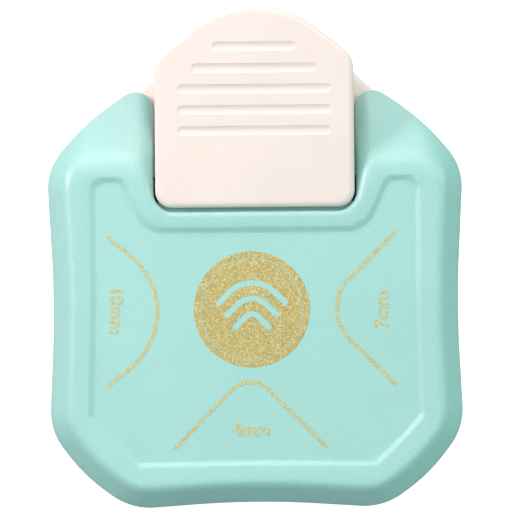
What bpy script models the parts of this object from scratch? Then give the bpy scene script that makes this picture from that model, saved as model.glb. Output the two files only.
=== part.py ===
"""Corner rounder that cuts 10 mm, 7 mm and 4 mm paper corners.

A cover and a base close round three steel plates. A lever turns on a pin at the front and its
roller pushes a carrier with three punches down through the plates.

The numbers below are in millimetres, and place() turns them into metres. Y is counted from the
middle of the three punches, and place() moves it so that the origin is under the middle of the
whole object. +Z is up, and +Y runs to the rear, where the lever is pressed.
"""

import math

import bmesh
import bpy
from mathutils import Matrix, Vector

MM = 0.001
MIDDLE_Y = 8.1  # from the middle of the punches to the middle of the object's length
ARC_STEPS = 4  # straight pieces in one rounded corner
ROUND_SIDES = 16  # sides of a small round piece
FIT = 0.3  # air left between two pieces that touch
HOLE_FIT = 0.2  # air left round a sliding piece

# Heights above the table
BASE_BOTTOM = 0.8
DECK = 10.0  # top of the base and of the die plate, which the paper lies on
SLOT_TOP = 14.3
PANEL = 26.4
CREST = 27.0
BAND_LOW = 22.8  # where the cover's upright wall ends and its sloped band starts
CEILING = 24.5
WALL = 2.0

# Plates, bottom to top
DIE_THICK = 1.5
GUIDE_THICK = 1.3
STRIPPER_THICK = 1.2
GUIDE_Z = DECK + FIT
STRIPPER_Z = GUIDE_Z + GUIDE_THICK + FIT
STRIPPER_TOP = STRIPPER_Z + STRIPPER_THICK
CARRIER_Z = 17.3
CARRIER_TOP = CARRIER_Z + 2.0
PAD_TOP = CARRIER_TOP + 0.8

# The paper's sharp corner ends at the apex of each V, and the cut leaves an arc of this radius
CUTS = {
    "10mm": {"radius": 10.0, "apex": (-11.3, 0.0), "turn": math.pi},
    "7mm": {"radius": 7.0, "apex": (10.0, 0.0), "turn": 0.0},
    "4mm": {"radius": 4.0, "apex": (0.0, -9.5), "turn": -math.pi / 2},
}
PUNCH_BACK = 0.8  # how far a punch reaches outside the paper's edge

# Lever
PIVOT_Y = -23.2
PIVOT_Z = 17.0
ROLLER_Y = 2.0
ROLLER_Z = 22.05
ROLLER_R = 1.7
LEVER_FRONT = 16.0
LEVER_FRONT_TOP = 26.8
LEVER_SLOPE = 0.186
LEVER_SKIRT = 6.5
ARM_IN = 11.9
ARM_OUT = 15.1

# Posts, screws and feet, on both sides of the middle
POST_X, POST_Y = 8.6, -7.8
SPRING_R = 2.3
SPRING_WIRE = 0.25
SPRING_TURNS = 4.5
HOUSING_SCREWS = {"front": (21.5, -20.6), "rear": (22.5, 20.5)}
PLATE_SCREWS = {"front": (16.0, -15.1), "rear": (7.5, 11.2)}
FEET = {"front": (26.2, -13.5), "rear": (8.0, 35.6)}
FOOT_R = 3.2

# Chip door
DOOR_HINGE_Y = 15.8
DOOR_HINGE_Z = 2.0
DOOR_Z = 1.2
DOOR_THICK = 1.6

# Half outlines as (x, y, corner radius), from the front middle to the rear middle
HOUSING_OUTLINE = [
    (0, -29.55, 0),
    (19.58, -30.55, 10.0),
    (26.6, -25.2, 0),
    (32.06, -18.36, 9.5),
    (31.2, 1.0, 0),
    (32.22, 22.13, 8.7),
    (25.4, 29.7, 0),
    (15.9, 36.6, 2.8),
    (15.85, 15.4, 3.0),
    (0, 15.4, 0),
]
HOUSING_CREST = [
    (0, -26.8, 0),
    (18.6, -27.75, 7.4),
    (24.75, -23.25, 0),
    (29.3, -17.4, 7.0),
    (28.45, 1.1, 0),
    (28.7, 22.8, 5.5),
    (22.4, 22.85, 0),
    (16.3, 22.8, 3.0),
    (16.3, 15.0, 3.4),
    (0, 15.0, 0),
]
PANEL_EDGE = [
    (0, -23.2, 0),
    (18.2, -23.4, 1.8),
    (21.9, -19.85, 0),
    (25.3, -16.2, 2.0),
    (24.85, 1.1, 0),
    (24.9, 20.2, 2.5),
    (22.23, 20.25, 0),
    (20.7, 20.2, 2.2),
    (17.0, 12.35, 4.0),
    (0, 12.35, 0),
]
BASE_OUTLINE = [
    (0, -29.25, 0),
    (19.45, -30.2, 10.0),
    (26.35, -25.0, 0),
    (31.75, -18.25, 9.5),
    (30.9, 1.0, 0),
    (32.05, 22.1, 9.0),
    (10.5, 41.2, 8.0),
    (0, 43.4, 0),
]
REAR_DECK = [
    (0, 16.6, 0),
    (15.2, 16.6, 1.0),
    (15.2, 36.4, 1.0),
    (10.0, 40.4, 7.0),
    (0, 42.4, 0),
]
LEVER_OUTLINE = [
    (0, LEVER_FRONT, 0),
    (15.4, LEVER_FRONT, 2.6),
    (15.3, 39.2, 4.0),
    (0, 50.9, 15.5),
]
PLATE_OUTLINE = [
    (0, -19.5, 0),
    (15.5, -19.5, 1.5),
    (23.5, -11.5, 1.5),
    (23.5, 9.8, 1.5),
    (19.5, 13.8, 1.5),
    (0, 13.8, 0),
]
CARRIER_OUTLINE = [
    (-20.4, 8.9, 2.0),
    (-20.4, -9.4, 2.0),
    (-9.0, -15.0, 3.0),
    (9.0, -15.0, 3.0),
    (17.6, -8.4, 3.0),
    (17.6, 8.9, 2.0),
]

# Name: (colour, metallic, roughness)
MATERIALS = {
    "mint_plastic": ((0.43, 0.75, 0.70), 0.0, 0.45),
    "cream_plastic": ((0.96, 0.86, 0.80), 0.0, 0.42),
    "carrier_plastic": ((0.55, 0.55, 0.56), 0.0, 0.5),
    "tool_steel": ((0.55, 0.56, 0.58), 1.0, 0.3),
    "spring_steel": ((0.6, 0.6, 0.62), 1.0, 0.25),
    "zinc_screw": ((0.7, 0.7, 0.72), 1.0, 0.35),
    "brass": ((0.8, 0.6, 0.3), 1.0, 0.3),
    "rubber": ((0.05, 0.05, 0.05), 0.0, 0.8),
}


def clear_scene():
    for obj in list(bpy.data.objects):
        bpy.data.objects.remove(obj, do_unlink=True)


def material(name):
    found = bpy.data.materials.get(name)
    if found:
        return found
    colour, metallic, roughness = MATERIALS[name]
    made = bpy.data.materials.new(name)
    made.use_nodes = True
    shader = made.node_tree.nodes["Principled BSDF"]
    shader.inputs["Base Color"].default_value = (*colour, 1.0)
    shader.inputs["Metallic"].default_value = metallic
    shader.inputs["Roughness"].default_value = roughness
    return made


# ---- outlines ----------------------------------------------------------------------------------


def mirrored(half):
    """The closed outline of a half outline whose two ends lie on the middle line."""
    return half + [(-x, y, r) for x, y, r in reversed(half[1:-1])]


def inset(half, distance):
    """A half outline with each side moved inwards, for an outline that turns to the left."""
    corners = mirrored(half)
    count = len(corners)
    moved = []
    for i in range(len(half)):
        before, here, after = (Vector(corners[j % count][:2]) for j in (i - 1, i, i + 1))
        first = (here - before).normalized()
        second = (after - here).normalized()
        first_in = Vector((-first.y, first.x))
        second_in = Vector((-second.y, second.x))
        middle = (first_in + second_in).normalized()
        point = here + middle * (distance / middle.dot(first_in))
        radius = half[i][2]
        if radius:
            turn = first.x * second.y - first.y * second.x
            radius = max(radius - math.copysign(distance, turn), 0.4)
        moved.append((point.x, point.y, radius))
    return moved


def rounded(corners):
    """The points of a closed outline of (x, y, radius) corners, each radius drawn as an arc."""
    points = []
    count = len(corners)
    for i, (x, y, radius) in enumerate(corners):
        here = Vector((x, y))
        if not radius:
            points.append(here)
            continue
        to_before = (Vector(corners[i - 1][:2]) - here).normalized()
        to_after = (Vector(corners[(i + 1) % count][:2]) - here).normalized()
        half_angle = to_before.angle(to_after) / 2
        centre = here + (to_before + to_after).normalized() * (radius / math.sin(half_angle))
        start = here + to_before * (radius / math.tan(half_angle)) - centre
        turn = start.angle_signed(here + to_after * (radius / math.tan(half_angle)) - centre)
        for step in range(ARC_STEPS + 1):
            arm = start.copy()
            arm.rotate(Matrix.Rotation(-turn * step / ARC_STEPS, 2))
            points.append(centre + arm)
    return points


def circle(x, y, radius, sides=ROUND_SIDES):
    angles = [2 * math.pi * step / sides for step in range(sides)]
    return [Vector((x + radius * math.cos(a), y + radius * math.sin(a))) for a in angles]


def blend(first, second, share):
    """The outline a share of the way from one half outline to another with the same corners."""
    return [tuple(a + (b - a) * share for a, b in zip(p, q)) for p, q in zip(first, second)]


def level(outline, z):
    return [(point.x, point.y, z) for point in outline]


def cut_section(name, clearance):
    """The outline of a punch: the sliver between the paper's sharp corner and the arc."""
    cut = CUTS[name]
    radius = cut["radius"]
    root = math.sqrt(0.5)

    def beside_edge(side, along, out):
        return Vector((along - out, side * (along + out))) * root

    end = radius + clearance
    back = PUNCH_BACK + clearance
    centre = Vector((radius / root, 0))
    steps = 2 * ARC_STEPS
    points = [beside_edge(1, end, back), beside_edge(1, end, -clearance)]
    for step in range(1, steps):
        angle = math.radians(135 + 90 * step / steps)
        points.append(centre + (radius - clearance) * Vector((math.cos(angle), math.sin(angle))))
    points += [beside_edge(-1, end, -clearance), beside_edge(-1, end, back)]
    points.append(Vector((-back / root, 0)))
    turn = Matrix.Rotation(cut["turn"], 2)
    return [Vector(cut["apex"]) + turn @ point for point in points]


def paper_wedge(name, margin):
    """The outline of the right-angled V that a paper corner fills, a margin wider each side."""
    cut = CUTS[name]
    turn = Matrix.Rotation(cut["turn"], 2)
    reach = 45.0
    back = margin * math.sqrt(2)
    corners = [(-back, 0), (reach, -reach - back), (reach, reach + back)]
    return [Vector(cut["apex"]) + turn @ Vector(corner) for corner in corners]


# ---- solids ------------------------------------------------------------------------------------


def place(point):
    x, y, z = point
    return Vector((x, y - MIDDLE_Y, z)) * MM


def add(name, mesh_maker, material_name):
    """An object whose mesh mesh_maker(bm) builds in millimetres."""
    bm = bmesh.new()
    mesh_maker(bm)
    bmesh.ops.recalc_face_normals(bm, faces=bm.faces)
    if bm.calc_volume(signed=True) < 0:
        bmesh.ops.reverse_faces(bm, faces=bm.faces)
    for vertex in bm.verts:
        vertex.co = place(vertex.co)
    mesh = bpy.data.meshes.new(name)
    bm.to_mesh(mesh)
    bm.free()
    mesh.shade_smooth()
    mesh.set_sharp_from_angle(angle=math.radians(35))
    obj = bpy.data.objects.new(name, mesh)
    bpy.context.scene.collection.objects.link(obj)
    mesh.materials.append(material(material_name))
    return obj


def loft(name, rings, material_name, capped=True):
    """A solid through rings of equal length. Without caps the last ring joins the first."""

    def build(bm):
        made = [[bm.verts.new(point) for point in ring] for ring in rings]
        pairs = list(zip(made, made[1:]))
        if not capped:
            pairs.append((made[-1], made[0]))
        for low, high in pairs:
            for i in range(len(low)):
                bm.faces.new((low[i - 1], low[i], high[i], high[i - 1]))
        if capped:
            bm.faces.new(reversed(made[0]))
            bm.faces.new(made[-1])

    return add(name, build, material_name)


def prism(name, outline, low, high, material_name="cream_plastic"):
    return loft(name, [level(outline, low), level(outline, high)], material_name)


def box(name, low, high, material_name="cream_plastic"):
    corners = [(low[0], low[1]), (high[0], low[1]), (high[0], high[1]), (low[0], high[1])]
    return prism(name, [Vector(corner) for corner in corners], low[2], high[2], material_name)


def turned(name, x, y, profile, material_name="zinc_screw", bored=False):
    """A round piece on a vertical axis, from (radius, z) points going up its outside."""
    rings = [level(circle(x, y, radius), z) for radius, z in profile]
    return loft(name, rings, material_name, capped=not bored)


def cross_rod(name, y, z, radius, half_length, material_name="tool_steel", bore=0.0):
    """A rod or tube along X."""

    def ring(x, size):
        return [(x, y + point.x, z + point.y) for point in circle(0, 0, size)]

    ends = [ring(-half_length, radius), ring(half_length, radius)]
    if bore:
        ends += [ring(half_length, bore), ring(-half_length, bore)]
    return loft(name, ends, material_name, capped=not bore)


def side_plate(name, profile, x_low, x_high, material_name="cream_plastic"):
    """A plate square to X, from its (y, z) profile."""
    rings = [[(x, y, z) for y, z in profile] for x in (x_low, x_high)]
    return loft(name, rings, material_name)


def combine(obj, other, operation):
    """Adds a Boolean to obj and hides the other solid, which stays in the file as its tool."""
    modifier = obj.modifiers.new(other.name, "BOOLEAN")
    modifier.operation = operation
    modifier.solver = "EXACT"
    modifier.object = other
    other.hide_render = True
    other.display_type = "WIRE"


def cut(obj, *tools):
    for tool in tools:
        combine(obj, tool, "DIFFERENCE")


def join(obj, *others):
    for other in others:
        combine(obj, other, "UNION")


def both_sides(points):
    """(side name, x, y) of a named pair, or of each pair in turn."""
    for where, (x, y) in points.items():
        yield where + "_left", -x, y
        yield where + "_right", x, y


def hold_by(pivot_name, point, *objs):
    """Puts an empty on a joint's axis and hangs the moving pieces on it, where they are."""
    pivot = bpy.data.objects.new(pivot_name, None)
    bpy.context.scene.collection.objects.link(pivot)
    pivot.empty_display_size = 0.01
    pivot.location = place(point)
    for obj in objs:
        obj.parent = pivot
        obj.matrix_parent_inverse = Matrix.Translation(-pivot.location)
    return pivot


# ---- housing -----------------------------------------------------------------------------------


def housing_ring(half, heights):
    """The full ring of a half outline, with each corner's own height."""
    points = rounded(mirrored(half))
    full = heights + list(reversed(heights[1:-1]))
    ring = []
    start = 0
    for i, (_, _, radius) in enumerate(mirrored(half)):
        count = ARC_STEPS + 1 if radius else 1
        ring += [(p.x, p.y, full[i]) for p in points[start : start + count]]
        start += count
    return ring


def sloped(side, lobe, count=10):
    """Heights of a half outline whose rear lobe, its eighth corner, lies lower than its sides."""
    heights = [side] * count
    heights[6] = lobe + 0.75 * (side - lobe)
    heights[7] = lobe
    return heights


def corner_blend(first, second, share, lobe_share):
    """A blend whose rear lobe corner has its own share and whose recess corners stay put."""
    ring = blend(first, second, share)
    ring[7] = blend(first, second, lobe_share)[7]
    for i in (8, 9):
        ring[i] = first[i]
    return ring


def top_housing():
    slope = corner_blend(HOUSING_OUTLINE, HOUSING_CREST, 0.55, 0.30)
    inner_low = inset(HOUSING_OUTLINE, WALL)
    rings = [
        housing_ring(inset(HOUSING_CREST, WALL), sloped(CEILING, CEILING)),
        housing_ring(inner_low, sloped(20.8, 12.8)),
        housing_ring(inner_low, sloped(GUIDE_Z, GUIDE_Z)),
        housing_ring(HOUSING_OUTLINE, sloped(GUIDE_Z, GUIDE_Z)),
        housing_ring(HOUSING_OUTLINE, sloped(BAND_LOW - 0.3, 15.3)),
        housing_ring(slope, sloped(25.0, 19.4)),
        housing_ring(HOUSING_CREST, sloped(CREST - 0.3, CREST - 0.3)),
        housing_ring(inset(HOUSING_CREST, 0.7), sloped(CREST, CREST)),
        housing_ring(inset(PANEL_EDGE, -0.8), sloped(CREST - 0.2, CREST - 0.2)),
        housing_ring(PANEL_EDGE, sloped(PANEL, PANEL)),
    ]
    housing = loft("top_housing", rings, "mint_plastic")
    bracket_low = (15.9, -25.6, 14.9)
    bracket_high = (19.8, -20.2, 25.0)
    for side in (-1, 1):
        x_low, x_high = sorted((side * bracket_low[0], side * bracket_high[0]))
        low = (x_low, *bracket_low[1:])
        high = (x_high, *bracket_high[1:])
        join(housing, box(f"pin_bracket_{side}", low, high))
    for where, x, y in both_sides(HOUSING_SCREWS):
        join(housing, turned(f"boss_{where}", x, y, [(2.8, GUIDE_Z + 0.05), (2.8, 24.9)]))
        cut(housing, turned(f"pilot_{where}", x, y, [(1.4, 5.0), (1.4, 18.0)]))
    cut(housing, cross_rod("pin_bore", PIVOT_Y, PIVOT_Z, 1.5, 18.6))
    cut(housing, box("lever_way", (-15.4, 12.0, 5.0), (15.4, 16.9, 24.8)))
    for name in CUTS:
        cut(housing, prism(f"slot_{name}", paper_wedge(name, 0.6), 5.0, SLOT_TOP))
    return housing


# ---- lever -------------------------------------------------------------------------------------


def lever_top(y):
    return LEVER_FRONT_TOP + LEVER_SLOPE * (y - LEVER_FRONT)


def lever_ring(distance, drop):
    outline = rounded(mirrored(inset(LEVER_OUTLINE, distance)))
    return [(p.x, p.y, lever_top(p.y) - drop) for p in outline]


def groove(y, length):
    """A round-ended cutter across the lever's top, tilted as the top is."""
    half_width = 0.6
    reach = length / 2 - half_width
    points = []
    for side in (1, -1):
        for step in range(ARC_STEPS + 1):
            angle = math.pi * (step / ARC_STEPS - 0.5)
            across = side * (reach + half_width * math.cos(angle))
            points.append((across, y + side * half_width * math.sin(angle)))
    rings = [[(x, py, lever_top(py) + dz) for x, py in points] for dz in (-0.4, 1.0)]
    return loft(f"groove_{y}", rings, "cream_plastic")


def lever():
    rings = [
        lever_ring(1.9, 1.9),
        lever_ring(1.7, LEVER_SKIRT),
        lever_ring(0.0, LEVER_SKIRT),
        lever_ring(0.0, 1.3),
        lever_ring(0.35, 0.4),
        lever_ring(1.2, 0.0),
    ]
    body = loft("lever", rings, "cream_plastic")
    arm = [
        (22.0, 24.1),
        (-20.0, 24.1),
        (-25.2, 18.6),
        (-24.6, 15.2),
        (-21.8, 15.2),
        (-17.0, 20.3),
        (4.5, 20.3),
        (5.5, 21.5),
        (11.5, 21.5),
        (12.7, 20.3),
        (16.0, 20.3),
        (22.0, 21.6),
    ]
    join(body, box("tongue", (-13.0, 13.5, 20.31), (13.0, 17.2, 24.05)))
    for side in (-1, 1):
        ends = sorted((side * ARM_IN, side * ARM_OUT))
        join(body, side_plate(f"arm_{side}", arm, *ends))
        eye = cross_rod(f"eye_{side}", PIVOT_Y, PIVOT_Z, 2.6, (ARM_OUT - ARM_IN) / 2 - 0.02)
        eye.location.x = side * (ARM_OUT + ARM_IN) / 2 * MM
        join(body, eye)
    cut(body, cross_rod("pivot_bore", PIVOT_Y, PIVOT_Z, 1.5, 20.0))
    cut(body, cross_rod("roller_pin_bore", ROLLER_Y, ROLLER_Z, 1.05, 20.0))
    for y, length in ((40.5, 12.8), (37.2, 19.3), (34.0, 23.7), (30.8, 23.7), (27.6, 23.7)):
        cut(body, groove(y, length))
    return body


def roller_and_pin():
    roller = cross_rod("press_roller", ROLLER_Y, ROLLER_Z, ROLLER_R, 11.6, "tool_steel", 1.05)
    pin = cross_rod("press_roller_pin", ROLLER_Y, ROLLER_Z, 0.8, 14.9)
    return roller, pin


# ---- base --------------------------------------------------------------------------------------


def base():
    rings = [
        level(rounded(mirrored(inset(BASE_OUTLINE, 1.2))), BASE_BOTTOM),
        level(rounded(mirrored(BASE_OUTLINE)), 2.0),
        level(rounded(mirrored(BASE_OUTLINE)), 9.0),
        level(rounded(mirrored(inset(BASE_OUTLINE, 1.0))), DECK),
    ]
    tray = loft("base", rings, "cream_plastic")
    join(tray, prism("rear_deck", rounded(mirrored(REAR_DECK)), 9.0, 12.5))
    plate_seat = rounded(mirrored(inset(PLATE_OUTLINE, -FIT)))
    cut(tray, prism("die_seat", plate_seat, DECK - DIE_THICK - FIT, 15.0))
    cut(tray, box("chip_chamber", (-19.8, -12.9, -1.0), (19.8, 10.2, 9.0)))
    cut(tray, box("door_seat", (-21.6, -15.8, -1.0), (21.6, 13.8, 3.1)))
    cut(tray, box("hinge_seat", (-10.4, 12.5, -1.0), (10.4, 17.4, 3.5)))
    cut(tray, box("finger_way", (-6.0, -18.6, -1.0), (6.0, -15.0, 2.2)))
    cut(tray, cross_rod("door_pin_bore", DOOR_HINGE_Y, DOOR_HINGE_Z, 0.75, 12.9))
    cut(tray, box("rear_hollow", (-12.5, 19.5, -1.0), (12.5, 31.0, 10.4)))
    for where, x, y in both_sides(HOUSING_SCREWS):
        head_way = [(2.7, -1.0), (2.7, 3.0), (1.4, 3.0), (1.4, 11.0)]
        cut(tray, turned(f"screw_way_{where}", x, y, head_way))
    for where, x, y in both_sides(PLATE_SCREWS):
        cut(tray, turned(f"thread_way_{where}", x, y, [(1.2, 4.2), (1.2, 9.0)]))
    for where, x, y in both_sides(FEET):
        cut(tray, turned(f"foot_seat_{where}", x, y, [(FOOT_R + FIT, -1.0), (FOOT_R + FIT, 1.6)]))
    return tray


def chip_door():
    top = DOOR_Z + DOOR_THICK
    corners = [(-21.2, -15.4, 1.5), (21.2, -15.4, 1.5), (21.2, 13.4, 1.5), (-21.2, 13.4, 1.5)]
    door = prism("chip_door", rounded(corners), DOOR_Z, top)
    join(door, box("hinge_leaf", (-9.9, 12.0, DOOR_Z + 0.01), (9.9, DOOR_HINGE_Y, top - 0.01)))
    join(door, cross_rod("knuckle", DOOR_HINGE_Y, DOOR_HINGE_Z, 1.15, 10.0))
    cut(door, cross_rod("knuckle_bore", DOOR_HINGE_Y, DOOR_HINGE_Z, 0.75, 11.0))
    return door


def feet():
    profile = [(FOOT_R - 0.4, 0.0), (FOOT_R, 0.4), (FOOT_R, 1.3)]
    for where, x, y in both_sides(FEET):
        turned(f"rubber_foot_{where}", x, y, profile, "rubber")


# ---- plates and punches ------------------------------------------------------------------------


def plate(name, low, thick, punch_clearance, post_hole, screw_hole, material_name="tool_steel"):
    """One of the three plates, with its openings for the punches, the posts and the screws."""
    made = prism(name, rounded(mirrored(PLATE_OUTLINE)), low, low + thick, material_name)
    below, above = low - 1.0, low + thick + 1.0
    for size in CUTS:
        cut(made, prism(f"{name}_{size}", cut_section(size, punch_clearance), below, above))
    for side in (-1, 1):
        hole = [(post_hole, below), (post_hole, above)]
        cut(made, turned(f"{name}_post_{side}", side * POST_X, POST_Y, hole))
    for where, x, y in both_sides(PLATE_SCREWS):
        hole = [(screw_hole, below), (screw_hole, above)]
        cut(made, turned(f"{name}_screw_{where}", x, y, hole))
    return made


def plates():
    plate("die_plate", DECK - DIE_THICK, DIE_THICK, 0.1, 1.75, 1.2)
    guide = plate("guide_plate", GUIDE_Z, GUIDE_THICK, HOLE_FIT, 2.95, 1.2)
    for name in CUTS:
        wedge = paper_wedge(name, 0.0)
        cut(guide, prism(f"paper_{name}", wedge, GUIDE_Z - 1.0, GUIDE_Z + GUIDE_THICK + 1.0))
    plate("stripper_plate", STRIPPER_Z, STRIPPER_THICK, HOLE_FIT, 2.95, 1.2)


def punches():
    made = []
    for name in CUTS:
        section = cut_section(name, 0.0)
        low = STRIPPER_Z + FIT
        made.append(prism(f"punch_{name}", section, low, CARRIER_TOP, "tool_steel"))
    return made


def punch_carrier():
    outline = rounded(CARRIER_OUTLINE)
    carrier = prism("punch_carrier", outline, CARRIER_Z, CARRIER_TOP, "carrier_plastic")
    join(carrier, box("press_pad", (-7.0, -0.6, CARRIER_Z + 0.5), (7.0, 4.6, PAD_TOP)))
    for name in CUTS:
        section = cut_section(name, HOLE_FIT)
        cut(carrier, prism(f"carrier_{name}", section, CARRIER_Z - 1.0, PAD_TOP + 1.0))
    for side in (-1, 1):
        hole = [(2.5, CARRIER_Z - 1.0), (2.5, PAD_TOP + 1.0)]
        cut(carrier, turned(f"carrier_post_{side}", side * POST_X, POST_Y, hole))
    return carrier


def posts_and_bushes():
    bushes = []
    for side, where in ((-1, "left"), (1, "right")):
        x = side * POST_X
        post = [(1.3, 8.7), (1.5, 8.9), (1.5, 22.3), (1.1, 22.8)]
        turned(f"guide_post_{where}", x, POST_Y, post, "tool_steel")
        low, high = CARRIER_Z + 0.1, CARRIER_TOP + 0.9
        wall = [(2.3, low), (2.3, high), (1.7, high), (1.7, low)]
        bushes.append(turned(f"guide_bush_{where}", x, POST_Y, wall, "brass", bored=True))
    return bushes


def spring(name, x):
    """A coil of round wire on a vertical axis between the die plate and a bush."""
    low = DECK + 0.2 + SPRING_WIRE
    high = CARRIER_Z - 0.15 - SPRING_WIRE
    per_turn, sides = 10, 5
    count = int(SPRING_TURNS * per_turn)
    rings = []
    for step in range(count + 1):
        angle = 2 * math.pi * step / per_turn
        out = Vector((math.cos(angle), math.sin(angle), 0))
        middle = Vector((x, POST_Y, low + (high - low) * step / count)) + out * SPRING_R
        ring = []
        for side in range(sides):
            around = 2 * math.pi * side / sides
            arm = out * math.cos(around) + Vector((0, 0, math.sin(around)))
            ring.append(middle + arm * SPRING_WIRE)
        rings.append(ring)
    return loft(name, rings, "spring_steel")


def springs():
    return [spring("return_spring_left", -POST_X), spring("return_spring_right", POST_X)]


def screws():
    for where, x, y in both_sides(HOUSING_SCREWS):
        profile = [(2.0, 1.2), (2.4, 1.6), (2.4, 2.7), (1.1, 2.7), (1.1, 16.0), (0.5, 17.0)]
        turned(f"housing_screw_{where}", x, y, profile)
    head = STRIPPER_TOP + FIT
    profile = [(0.4, 4.6), (0.9, 5.2), (0.9, head), (1.9, head), (1.9, head + 0.8)]
    profile.append((1.5, head + 1.2))
    for where, x, y in both_sides(PLATE_SCREWS):
        turned(f"plate_screw_{where}", x, y, profile)


def main():
    clear_scene()
    top_housing()
    base()
    plates()
    screws()
    feet()
    springs()
    cross_rod("lever_pivot_pin", PIVOT_Y, PIVOT_Z, 1.25, 18.3)
    cross_rod("chip_door_pin", DOOR_HINGE_Y, DOOR_HINGE_Z, 0.5, 12.6)
    hold_by("lever_pivot", (0, PIVOT_Y, PIVOT_Z), lever(), *roller_and_pin())
    hold_by("punch_slide", (0, 0, CARRIER_Z), punch_carrier(), *punches(), *posts_and_bushes())
    hold_by("chip_door_hinge", (0, DOOR_HINGE_Y, DOOR_HINGE_Z), chip_door())


main()
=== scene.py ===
"""The looks of the corner rounder: fine shells, turned parts, springs, print and materials.

Lengths here are in millimetres and place() turns them into the frame's metres. Y is counted from
the middle of the three punches, as in the CAD, and MIDDLE_Y moves it. What the frame can say,
such as where a screw or a post stands, is read from the frame with spot().
"""

import math

import bmesh
import bpy
from mathutils import Matrix, Vector


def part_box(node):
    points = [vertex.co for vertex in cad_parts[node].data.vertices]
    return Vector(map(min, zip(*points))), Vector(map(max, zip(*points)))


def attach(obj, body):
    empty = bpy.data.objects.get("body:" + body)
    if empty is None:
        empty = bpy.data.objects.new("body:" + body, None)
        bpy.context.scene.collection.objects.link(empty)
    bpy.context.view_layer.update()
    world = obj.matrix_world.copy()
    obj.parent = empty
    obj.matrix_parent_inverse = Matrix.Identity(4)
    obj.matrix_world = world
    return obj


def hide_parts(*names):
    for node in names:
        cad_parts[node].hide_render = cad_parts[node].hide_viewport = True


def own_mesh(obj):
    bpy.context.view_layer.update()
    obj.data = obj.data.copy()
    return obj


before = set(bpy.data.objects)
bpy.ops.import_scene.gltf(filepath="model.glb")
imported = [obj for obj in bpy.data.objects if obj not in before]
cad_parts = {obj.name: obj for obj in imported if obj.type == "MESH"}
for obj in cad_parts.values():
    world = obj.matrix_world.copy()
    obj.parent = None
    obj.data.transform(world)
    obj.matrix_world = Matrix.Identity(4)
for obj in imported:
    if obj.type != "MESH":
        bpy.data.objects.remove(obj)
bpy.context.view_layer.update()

MM = 0.001
MIDDLE_Y = 8.1
ARC_STEPS = 9  # pieces in one rounded corner
QUARTER_STEPS = 7  # pieces in the lever's rounded edge
ROUND_SIDES = 48  # sides of a turned piece
DISC_SIDES = 96  # sides of the printed disc's circles
WELD_DISTANCE = 0.000001  # metres

# Heights above the table, as in the CAD
DECK = 10.0
HOUSING_LOW = 10.3
SLOT_TOP = 14.3
CEILING = 24.5
PANEL = 26.4
CREST = 27.0

# The cover's inside: an upright wall, a wall that thickens up to the shoulder, and the ceiling
WALL = 2.0
INNER_DRAFT = 1.6
INNER_WALL_TOP = 15.0
INNER_SHOULDER = 22.5
LOBE_THICKNESS = 3.6

# The cover's side: an upright wall, a flat slope up to the crest, and a soft crest
BAND_LOW = 23.05
BAND_SLOPE = 1.4
CREST_SOFTNESS = 1.15
WALL_EDGE = 0.7  # how soft the edge between wall and slope is
WALL_EDGE_DROP = 0.55  # and how deep that rounding goes, as a share of its reach
LOBE_Y = 22.8  # where the cover's two rear shoulders start to fall away
LOBE_SLOPE = 0.78
LOBE_SOFTNESS = 2.0  # how far the rounding between crest and shoulder reaches
STEP_OUT = -0.85  # the soft step down to the panel reaches this far outside its edge
STEP_IN = 0.35
RIM_FALL = 0.12  # the rim sinks this much from the crest to the step

# The lever's notch in the cover
NOTCH_HALF = 15.65
NOTCH_FRONT = 15.4
NOTCH_RADIUS = 3.0
LIP_RADIUS = 0.8  # of the rounded edge in front of the lever
LIP_GROWTH = 1.9  # how much rounder the edge gets beside the lever
LIP_GROWTH_START = 15.0
LIP_GROWTH_LENGTH = 8.0

# Lever
PIVOT_Y = -23.2
PIVOT_Z = 17.0
ROLLER_Y = 2.0
ROLLER_Z = 22.05
PIVOT_BORE = 1.5
ROLLER_BORE = 1.05
LEVER_FRONT = 16.0
LEVER_FRONT_TOP = 26.72  # a little under the CAD's lever, so that its raised end stays in the CAD's box
LEVER_SLOPE = 0.186
LEVER_SKIRT = 6.5
LEVER_EDGE = 0.9
# (y, length) of each grip groove
GROOVES = ((40.5, 12.8), (37.2, 19.3), (34.0, 23.7), (30.8, 23.7), (27.6, 23.7))
GROOVE_RADIUS = 1.5
GROOVE_RAISED = 1.32  # a groove's axis stands this far above the lever's top
GROOVE_HALF_WIDTH = 0.71
GROOVE_END_STEPS = 8

# The chip door's hinge
DOOR_PIN_Y = 15.8
DOOR_PIN_Z = 2.0
DOOR_PIN_BORE = 0.75

# Where the tip of each paper corner comes to rest, and the way that the corner opens
APEXES = {
    "10mm": ((-11.3, 0.0), math.pi),
    "7mm": ((10.0, 0.0), 0.0),
    "4mm": ((0.0, -9.5), -math.pi / 2),
}
PAPER_REACH = 45.0  # how far the paper's V is drawn, well past the cover
SLOT_MARGIN = 0.6

MINT_COLOUR = (0.32, 0.64, 0.59)
CREAM_COLOUR = (0.875, 0.772, 0.715)
CARRIER_COLOUR = (0.34, 0.34, 0.35)

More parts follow.
